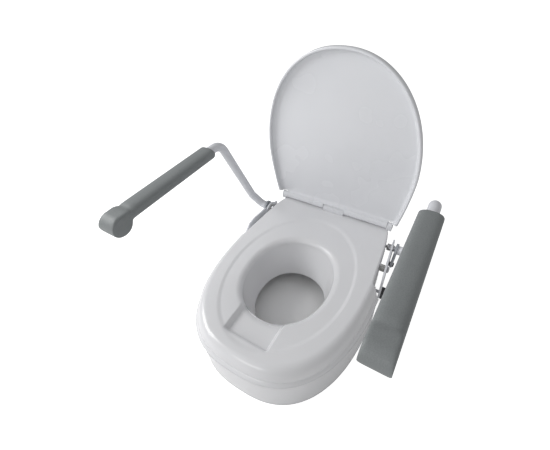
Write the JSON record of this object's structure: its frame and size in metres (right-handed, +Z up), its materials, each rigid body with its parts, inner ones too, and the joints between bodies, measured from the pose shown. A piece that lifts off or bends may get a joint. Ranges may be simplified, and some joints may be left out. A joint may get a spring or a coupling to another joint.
{
  "type": "raised toilet seat",
  "caption": "Raised toilet seat in white plastic with a dished seat, hinged lid, splash guard and two fold-up padded arms on side brackets.",
  "frame": {"origin": "bottom centre of the whole object, on the floor plane it stands on", "axes": "+Z up, +Y towards the lid at the back, +X to the right seen from the front"},
  "size_m": [0.529, 0.51, 0.5552],
  "materials": {
    "gloss_white": "gloss moulded plastic",
    "lid_white": "gloss moulded plastic",
    "painted_steel": "satin white powder coat",
    "foam_grey": "fine grained polyurethane skin",
    "dark_plastic": "fine matt",
    "grey_plastic": "fine matt",
    "steel": "zinc plated",
    "rubber": "matt rubber",
    "nylon": "natural nylon"
  },
  "bodies": {
    "frame": {"seat_shell": "gloss_white", "base_shell": "gloss_white", "cross_bar": "grey_plastic", "rim_pad_front_right": "rubber", "rim_pad_front_left": "rubber", "rim_pad_rear_right": "rubber", "rim_pad_rear_left": "rubber", "hinge_post_left": "lid_white", "hinge_pin_left": "steel", "hinge_post_centre": "lid_white", "hinge_pin_centre": "steel", "hinge_post_right": "lid_white", "hinge_pin_right": "steel", "lid_stop_right": "rubber", "side_bracket_right": "painted_steel", "pivot_bush_right": "nylon", "stop_pin_right": "dark_plastic", "bracket_bolt_right_rear": "steel", "bracket_spacer_right_rear": "nylon", "bracket_bolt_right_front": "steel", "bracket_spacer_right_front": "nylon", "clamp_insert_right": "nylon", "lid_stop_left": "rubber", "side_bracket_left": "painted_steel", "pivot_bush_left": "nylon", "stop_pin_left": "dark_plastic", "bracket_bolt_left_rear": "steel", "bracket_spacer_left_rear": "nylon", "bracket_bolt_left_front": "steel", "bracket_spacer_left_front": "nylon", "clamp_insert_left": "nylon", "ledge_plate": "gloss_white"},
    "lid": {"lid_panel": "lid_white"},
    "arm_right": {"arm_tube_right": "painted_steel", "arm_pad_right": "foam_grey", "arm_axle_right": "steel", "axle_nut_right": "steel", "stop_cam_right": "grey_plastic", "pad_screw_right_rear": "steel", "pad_screw_right_front": "steel"},
    "jaw_right": {"clamp_jaw_right": "rubber"},
    "screw_right": {"clamp_spindle_right": "steel", "clamp_knob_right": "dark_plastic"},
    "arm_left": {"arm_tube_left": "painted_steel", "arm_pad_left": "foam_grey", "arm_axle_left": "steel", "axle_nut_left": "steel", "stop_cam_left": "grey_plastic", "pad_screw_left_rear": "steel", "pad_screw_left_front": "steel"},
    "jaw_left": {"clamp_jaw_left": "rubber"},
    "screw_left": {"clamp_spindle_left": "steel", "clamp_knob_left": "dark_plastic"}
  },
  "joints": [
    {"name": "lid_hinge", "type": "hinge", "parent": "frame", "child": "lid", "pos_m": [0, 0.223, 0.14], "axis": [1, 0, 0], "range_deg": [0, 90.5]},
    {"name": "arm_fold_left", "type": "hinge", "parent": "frame", "child": "arm_left", "pos_m": [-0.18, 0.175, 0.1155], "axis": [-1, 0, 0], "range_deg": [0, 90]},
    {"name": "jaw_slide_left", "type": "slide", "parent": "frame", "child": "jaw_left", "axis": [1, 0, 0], "range_m": [0, 0.01]},
    {"name": "screw_turn_left", "type": "hinge", "parent": "jaw_left", "child": "screw_left", "pos_m": [-0.16, 0.111, 0.019], "axis": [-1, 0, 0], "range_deg": [0, 2880]},
    {"name": "arm_fold_right", "type": "hinge", "parent": "frame", "child": "arm_right", "pos_m": [0.18, 0.175, 0.1155], "axis": [-1, 0, 0], "range_deg": [0, 90]},
    {"name": "jaw_slide_right", "type": "slide", "parent": "frame", "child": "jaw_right", "axis": [-1, 0, 0], "range_m": [0, 0.01]},
    {"name": "screw_turn_right", "type": "hinge", "parent": "jaw_right", "child": "screw_right", "pos_m": [0.16, 0.111, 0.019], "axis": [1, 0, 0], "range_deg": [0, 2880]}
  ],
  "couplings": [
    {"joint": "jaw_slide_left", "follows": "screw_turn_left", "m_per_rad": 0.00019894},
    {"joint": "jaw_slide_right", "follows": "screw_turn_right", "m_per_rad": 0.00019894}
  ]
}
